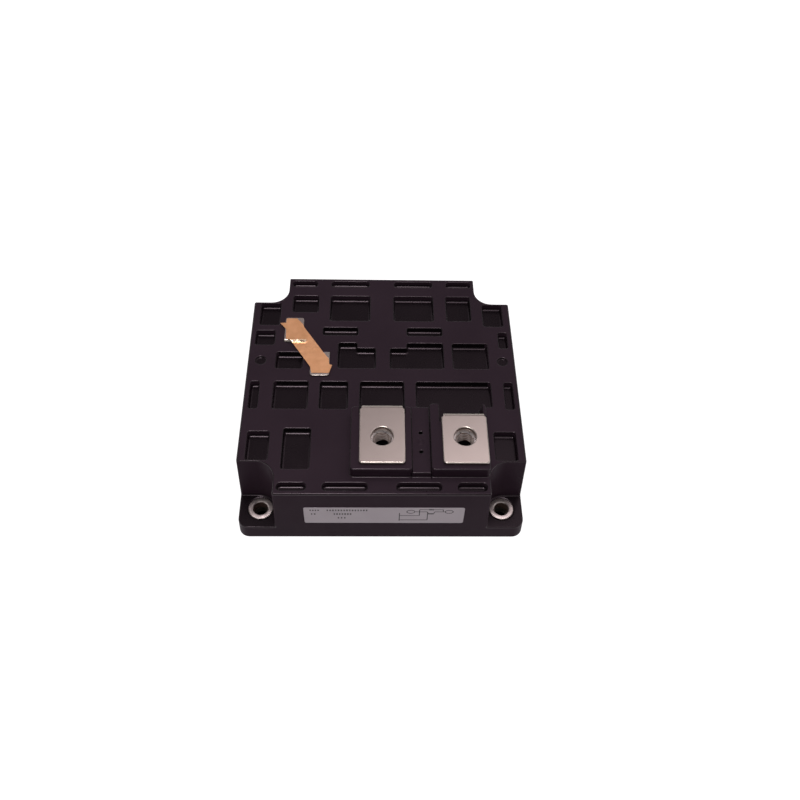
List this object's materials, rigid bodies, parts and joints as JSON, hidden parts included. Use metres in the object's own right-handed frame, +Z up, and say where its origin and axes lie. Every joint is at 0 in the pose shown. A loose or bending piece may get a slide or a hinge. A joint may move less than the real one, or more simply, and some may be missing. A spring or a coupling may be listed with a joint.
{
  "type": "igbt module",
  "caption": "Square single-switch power semiconductor module: black moulded housing with pockets and notched corners, screw terminals and a copper shorting foil on a metal base plate.",
  "frame": {"origin": "middle of the base plate's underside, on the mounting plane", "axes": "+X from the emitter terminal to the collector terminal, +Y away from the main terminals, +Z up from the base plate"},
  "size_m": [0.13, 0.13, 0.044],
  "materials": {
    "black_plastic": "fine moulded texture",
    "nickel_plate": "satin nickel plating on copper",
    "nickel_strap": "satin nickel plating on copper",
    "nickel_tab": "satin nickel plating",
    "nut_steel": "plated steel",
    "bush_steel": "plated steel, turned",
    "copper_foil": "bare copper foil, crumpled",
    "label_film": "satin film",
    "alumina": "matte",
    "copper": "bonded bare copper",
    "silicon": "polished metallised silicon",
    "bond_aluminium": "bare wire",
    "wire_insulation": "smooth insulation",
    "silicone_gel": "clear soft gel",
    "epoxy": "cast"
  },
  "bodies": {
    "root": {"housing": "black_plastic", "housing_cover": "black_plastic", "base_plate": "nickel_plate", "bush_back_left": "bush_steel", "bush_back_right": "bush_steel", "bush_front_left": "bush_steel", "bush_front_right": "bush_steel", "emitter_terminal": "nickel_strap", "collector_terminal": "nickel_strap", "emitter_nut": "nut_steel", "collector_nut": "nut_steel", "gate_terminal": "nickel_tab", "aux_emitter_terminal": "nickel_tab", "gate_nut": "nut_steel", "aux_emitter_nut": "nut_steel", "shorting_foil": "copper_foil", "label": "label_film", "ceramic_substrate_1": "alumina", "ceramic_substrate_2": "alumina", "ceramic_substrate_3": "alumina", "ceramic_substrate_4": "alumina", "copper_layers_1": "copper", "copper_layers_2": "copper", "copper_layers_3": "copper", "copper_layers_4": "copper", "igbt_chips_1": "silicon", "igbt_chips_2": "silicon", "igbt_chips_3": "silicon", "igbt_chips_4": "silicon", "diode_chips_1": "silicon", "diode_chips_2": "silicon", "diode_chips_3": "silicon", "diode_chips_4": "silicon", "bond_wires_1": "bond_aluminium", "bond_wires_2": "bond_aluminium", "bond_wires_3": "bond_aluminium", "bond_wires_4": "bond_aluminium", "gate_wires": "wire_insulation", "silicone_gel": "silicone_gel", "epoxy_seal": "epoxy"}
  },
  "joints": []
}
